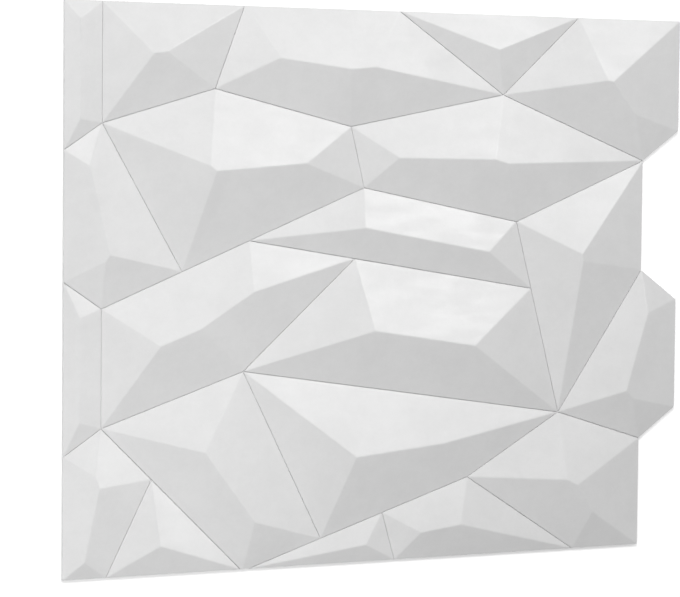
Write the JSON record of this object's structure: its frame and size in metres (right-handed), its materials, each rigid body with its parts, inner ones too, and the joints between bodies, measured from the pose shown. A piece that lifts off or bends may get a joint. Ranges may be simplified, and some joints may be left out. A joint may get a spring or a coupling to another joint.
{
  "type": "faceted wall panel",
  "caption": "White faceted relief wall panel with a flat back, moulded in one piece; tabs on the right edge interlock with the next panel",
  "frame": {"origin": "centre of the flat back, on the floor, midway along the panel's overall width and height", "axes": "+X along the panel's width towards the tabbed edge, +Y up the wall as hung, +Z out of the relief face"},
  "size_m": [0.6, 0.5, 0.0229],
  "materials": {
    "white_moulding": "matt white factory coat on moulded rigid polyurethane, faint mottling and a soft sheen"
  },
  "bodies": {
    "root": {"wall_panel": "white_moulding"}
  },
  "joints": []
}
